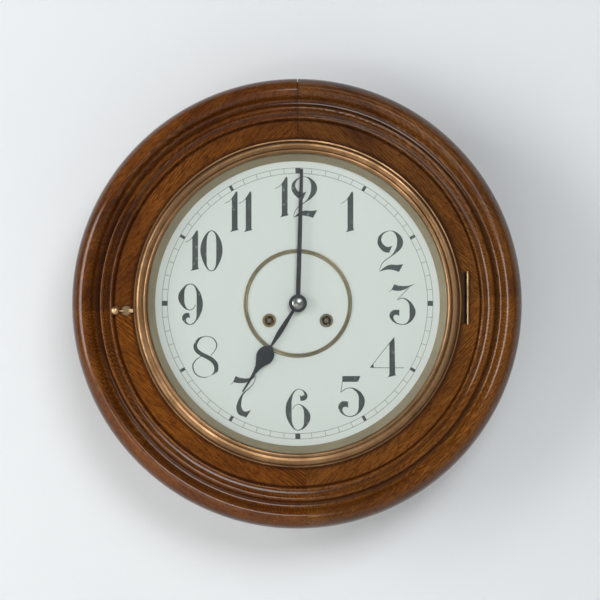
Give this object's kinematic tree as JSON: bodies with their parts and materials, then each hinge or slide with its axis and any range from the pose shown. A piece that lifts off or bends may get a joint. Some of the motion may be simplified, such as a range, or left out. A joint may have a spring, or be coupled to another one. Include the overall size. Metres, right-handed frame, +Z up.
{
  "type": "wall clock",
  "caption": "Round wall clock: moulded oak rim on a drum case, hinged brass bezel with glass, white dial, two hands and a wound time-and-strike movement with a pendulum.",
  "frame": {"origin": "on the dial's axis, in the plane of the wall", "axes": "+Z up, the dial faces -Y, +X to the right seen from the front"},
  "size_m": [0.4726, 0.104, 0.4725],
  "materials": {
    "oak_rim": "gloss varnish over stained oak",
    "oak_drum": "satin varnish over stained oak",
    "board": "bare planed pine",
    "dial_white": "matt white paint",
    "bezel_brass": "polished and lacquered",
    "sight_brass": "pale satin lacquer",
    "ring_brass": "satin",
    "eyelet_brass": "dull",
    "pane": "clear",
    "hand_black": "satin black",
    "nickel": "polished",
    "plate_brass": "brushed",
    "steel": "bright",
    "spring_steel": "blued",
    "hanger_steel": "zinc plated",
    "screw_steel": "bright",
    "iron": "black japan"
  },
  "bodies": {
    "case": {"rim_top_right": "oak_rim", "rim_bottom_right": "oak_rim", "rim_bottom_left": "oak_rim", "rim_top_left": "oak_rim", "rim_splines": "oak_drum", "drum_staves": "oak_drum", "back_board": "board", "back_board_screws": "screw_steel", "hanger_plate": "hanger_steel", "hanger_screws": "screw_steel", "dial_pan": "dial_white", "dial_screws": "steel", "centre_ring": "ring_brass", "winding_eyelets": "eyelet_brass", "hinge_case_leaf": "bezel_brass", "hinge_pin": "steel", "hinge_screws": "screw_steel", "latch_washer": "bezel_brass", "latch_screw": "screw_steel", "movement_front_plate": "plate_brass", "movement_back_plate": "plate_brass", "movement_pillars": "steel", "movement_posts": "steel", "movement_nuts": "steel", "time_mainspring": "spring_steel", "strike_mainspring": "spring_steel", "minute_wheel_stud": "steel", "suspension_cock": "plate_brass", "cock_rivets": "steel", "gong": "spring_steel", "gong_block": "iron"},
    "bezel": {"bezel_ring": "bezel_brass", "bezel_glass": "pane", "sight_ring": "sight_brass", "hinge_bezel_leaf": "bezel_brass"},
    "latch": {"latch_lever": "bezel_brass"},
    "minute": {"minute_hand": "hand_black", "cannon_pinion": "plate_brass", "hand_nut": "nickel"},
    "minute_gear": {"minute_wheel": "plate_brass"},
    "hour": {"hour_hand": "hand_black", "hour_wheel": "plate_brass"},
    "escape": {"escape_wheel": "plate_brass"},
    "third": {"third_wheel": "plate_brass"},
    "centre": {"centre_wheel": "plate_brass"},
    "time_great": {"time_great_wheel": "plate_brass"},
    "time_click": {"time_click": "steel"},
    "time_winding": {"time_winding_arbor": "steel"},
    "fly": {"strike_fly": "plate_brass"},
    "strike_third": {"strike_third_wheel": "plate_brass"},
    "strike_second": {"strike_second_wheel": "plate_brass"},
    "strike_great": {"strike_great_wheel": "plate_brass"},
    "strike_click": {"strike_click": "steel"},
    "strike_winding": {"strike_winding_arbor": "steel"},
    "pendulum": {"pendulum_rod": "steel", "pendulum_bob": "plate_brass", "rating_nut": "plate_brass", "suspension_spring": "steel"},
    "verge": {"verge": "steel"},
    "hammer": {"strike_hammer": "steel"}
  },
  "joints": [
    {"name": "bezel_hinge", "type": "hinge", "parent": "case", "child": "bezel", "pos_m": [0.1785, -0.092, 0.0056], "axis": [0, 0, 1], "range_deg": [0, 110]},
    {"name": "latch_turn", "type": "hinge", "parent": "case", "child": "latch", "pos_m": [-0.179, -0.093, -0.0078], "axis": [0, 1, 0], "range_deg": [-90, 90]},
    {"name": "minute_hand_turn", "type": "hinge", "parent": "case", "child": "minute", "pos_m": [0, -0.092, 0], "axis": [0, 1, 0], "continuous": true},
    {"name": "minute_wheel_turn", "type": "hinge", "parent": "case", "child": "minute_gear", "pos_m": [0, -0.078, 0.024], "axis": [0, 1, 0], "continuous": true},
    {"name": "hour_hand_turn", "type": "hinge", "parent": "case", "child": "hour", "pos_m": [0, -0.0895, 0], "axis": [0, 1, 0], "continuous": true},
    {"name": "escape_wheel_turn", "type": "hinge", "parent": "case", "child": "escape", "pos_m": [0, -0.042, 0.03903], "axis": [0, 1, 0], "continuous": true},
    {"name": "third_wheel_turn", "type": "hinge", "parent": "case", "child": "third", "pos_m": [0.0121, -0.065, 0.02096], "axis": [0, 1, 0], "continuous": true},
    {"name": "centre_wheel_turn", "type": "hinge", "parent": "case", "child": "centre", "pos_m": [0, -0.044, 0], "axis": [0, 1, 0], "continuous": true},
    {"name": "time_great_wheel_turn", "type": "hinge", "parent": "case", "child": "time_great", "pos_m": [0.03, -0.0685, -0.018], "axis": [0, 1, 0], "continuous": true},
    {"name": "time_click_lift", "type": "hinge", "parent": "time_great", "child": "time_click", "pos_m": [0.02748, -0.0663, -0.03228], "axis": [0, 1, 0], "range_deg": [0, 20]},
    {"name": "time_winding", "type": "hinge", "parent": "case", "child": "time_winding", "pos_m": [0.03, -0.08, -0.018], "axis": [0, 1, 0], "continuous": true},
    {"name": "strike_fly_turn", "type": "hinge", "parent": "case", "child": "fly", "pos_m": [-0.03574, -0.05, 0.0384], "axis": [0, 1, 0], "continuous": true},
    {"name": "strike_third_wheel_turn", "type": "hinge", "parent": "case", "child": "strike_third", "pos_m": [-0.02124, -0.059, 0.03002], "axis": [0, 1, 0], "continuous": true},
    {"name": "strike_second_wheel_turn", "type": "hinge", "parent": "case", "child": "strike_second", "pos_m": [-0.035, -0.041, 0.01036], "axis": [0, 1, 0], "continuous": true},
    {"name": "strike_great_wheel_turn", "type": "hinge", "parent": "case", "child": "strike_great", "pos_m": [-0.03, -0.0685, -0.018], "axis": [0, 1, 0], "continuous": true},
    {"name": "strike_click_lift", "type": "hinge", "parent": "strike_great", "child": "strike_click", "pos_m": [-0.03252, -0.0663, -0.03228], "axis": [0, 1, 0], "range_deg": [0, 20]},
    {"name": "strike_winding", "type": "hinge", "parent": "case", "child": "strike_winding", "pos_m": [-0.03, -0.08, -0.018], "axis": [0, 1, 0], "continuous": true},
    {"name": "pendulum_swing", "type": "hinge", "parent": "case", "child": "pendulum", "pos_m": [0, -0.0229, 0.05742], "axis": [0, 1, 0], "range_deg": [-3, 3]},
    {"name": "verge_rock", "type": "hinge", "parent": "case", "child": "verge", "pos_m": [0, -0.042, 0.05742], "axis": [0, 1, 0], "range_deg": [-3, 3]},
    {"name": "hammer_lift", "type": "hinge", "parent": "case", "child": "hammer", "pos_m": [-0.04, -0.036, -0.048], "axis": [0, -1, 0], "range_deg": [0, 25]}
  ],
  "couplings": [
    {"joint": "minute_wheel_turn", "follows": "minute_hand_turn", "ratio": -0.33333},
    {"joint": "hour_hand_turn", "follows": "minute_hand_turn", "ratio": 0.083333},
    {"joint": "third_wheel_turn", "follows": "escape_wheel_turn", "ratio": -0.0875},
    {"joint": "centre_wheel_turn", "follows": "escape_wheel_turn", "ratio": 0.00875},
    {"joint": "time_great_wheel_turn", "follows": "escape_wheel_turn", "ratio": -0.00097222},
    {"joint": "strike_third_wheel_turn", "follows": "strike_fly_turn", "ratio": -0.11667},
    {"joint": "strike_second_wheel_turn", "follows": "strike_fly_turn", "ratio": 0.012963},
    {"joint": "strike_great_wheel_turn", "follows": "strike_fly_turn", "ratio": -0.0016204},
    {"joint": "verge_rock", "follows": "pendulum_swing", "ratio": 1}
  ]
}
